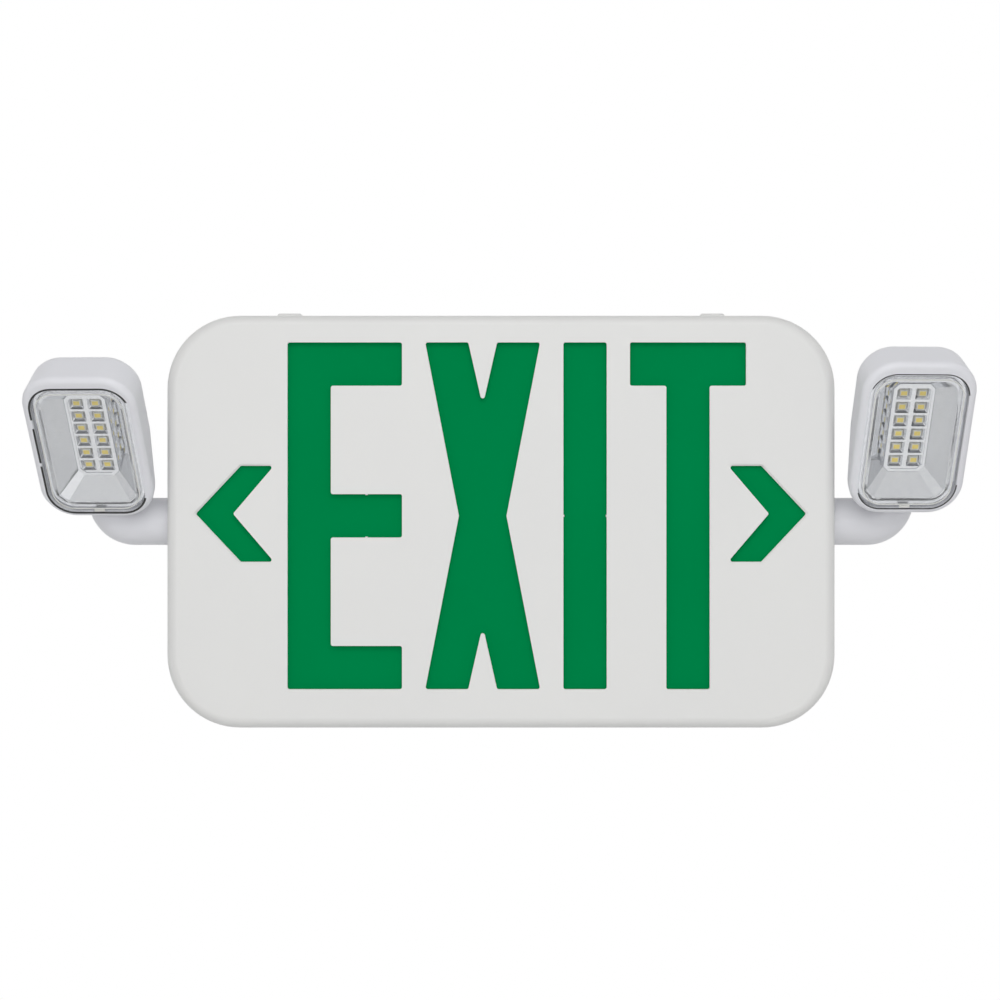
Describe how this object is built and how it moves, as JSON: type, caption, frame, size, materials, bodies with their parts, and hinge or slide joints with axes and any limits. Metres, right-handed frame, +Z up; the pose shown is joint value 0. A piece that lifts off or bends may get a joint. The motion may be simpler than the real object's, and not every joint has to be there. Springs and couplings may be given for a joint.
{
  "type": "emergency exit light",
  "caption": "Wall-mounted emergency exit light: a stencil-face sign housing with a lit green legend, and lamp heads that tilt and swivel on elbow arms at its sides.",
  "frame": {"origin": "centre of the wire entry hole, on the wall plane at the back of the housing", "axes": "+X to the viewer's right, +Y into the wall, +Z up"},
  "size_m": [0.413, 0.0858, 0.1829],
  "materials": {
    "white_plastic": "fine satin, injection moulded",
    "green_legend": "smooth translucent sheet",
    "tray_plastic": "matt",
    "white_board": "white solder mask",
    "phosphor": "yellow phosphor in a white package",
    "battery_sleeve": "shrink sleeve",
    "plated_steel": "zinc plated",
    "green_board": "solder mask",
    "lamination_steel": "varnished",
    "black_plastic": "moulded",
    "button_red": "smooth",
    "status_lens": "clear tinted",
    "washer_rubber": "matt",
    "clear_lens": "clear moulded plastic",
    "silver_reflector": "vacuum metallised, slightly soft"
  },
  "bodies": {
    "housing": {"front_cover": "white_plastic", "rear_housing": "white_plastic", "legend_panel": "green_legend", "light_tray": "tray_plastic", "sign_light_strip_top": "white_board", "sign_light_strip_bottom": "white_board", "sign_leds_top": "phosphor", "sign_leds_bottom": "phosphor", "battery_pack": "battery_sleeve", "battery_strap": "plated_steel", "charger_board": "green_board", "board_screws": "plated_steel", "transformer": "lamination_steel", "board_components": "black_plastic", "terminal_block": "black_plastic", "button_spring": "plated_steel", "test_switch": "black_plastic", "status_lamp": "status_lens"},
    "test_button": {"test_button": "button_red"},
    "arm_left": {"arm_left": "white_plastic", "arm_washer_left": "washer_rubber", "arm_nut_left": "tray_plastic"},
    "swivel_left": {"swivel_left": "white_plastic", "swivel_clip_left": "plated_steel"},
    "head_left": {"head_shell_left": "white_plastic", "head_lens_left": "clear_lens", "reflector_left": "silver_reflector", "lamp_board_left": "white_board", "lamp_leds_left": "phosphor", "pivot_screw_left": "plated_steel", "pivot_nut_left": "plated_steel"},
    "arm_right": {"arm_right": "white_plastic", "arm_washer_right": "washer_rubber", "arm_nut_right": "tray_plastic"},
    "swivel_right": {"swivel_right": "white_plastic", "swivel_clip_right": "plated_steel"},
    "head_right": {"head_shell_right": "white_plastic", "head_lens_right": "clear_lens", "reflector_right": "silver_reflector", "lamp_board_right": "white_board", "lamp_leds_right": "phosphor", "pivot_screw_right": "plated_steel", "pivot_nut_right": "plated_steel"}
  },
  "joints": [
    {"name": "test_button_press", "type": "slide", "parent": "housing", "child": "test_button", "axis": [0, 0, 1], "range_m": [0, 0.0012], "stiffness_N_per_m": 400, "springref_m": -0.0005, "deforming": ["button_spring"]},
    {"name": "arm_turn_left", "type": "hinge", "parent": "housing", "child": "arm_left", "pos_m": [-0.147, -0.024, 0], "axis": [1, 0, 0], "range_deg": [-10, 110]},
    {"name": "head_swivel_left", "type": "hinge", "parent": "arm_left", "child": "swivel_left", "pos_m": [-0.1736, -0.024, 0.03], "axis": [0, 0, 1], "range_deg": [-66, 9]},
    {"name": "head_tilt_left", "type": "hinge", "parent": "swivel_left", "child": "head_left", "pos_m": [-0.17514, -0.03338, 0.041], "axis": [0.9869, -0.1616, 0], "range_deg": [-66, 2]},
    {"name": "arm_turn_right", "type": "hinge", "parent": "housing", "child": "arm_right", "pos_m": [0.147, -0.024, 0], "axis": [1, 0, 0], "range_deg": [-10, 110]},
    {"name": "head_swivel_right", "type": "hinge", "parent": "arm_right", "child": "swivel_right", "pos_m": [0.1736, -0.024, 0.03], "axis": [0, 0, 1], "range_deg": [-8, 66]},
    {"name": "head_tilt_right", "type": "hinge", "parent": "swivel_right", "child": "head_right", "pos_m": [0.17495, -0.0334, 0.041], "axis": [0.9898, 0.1426, 0], "range_deg": [-58, 10]}
  ]
}
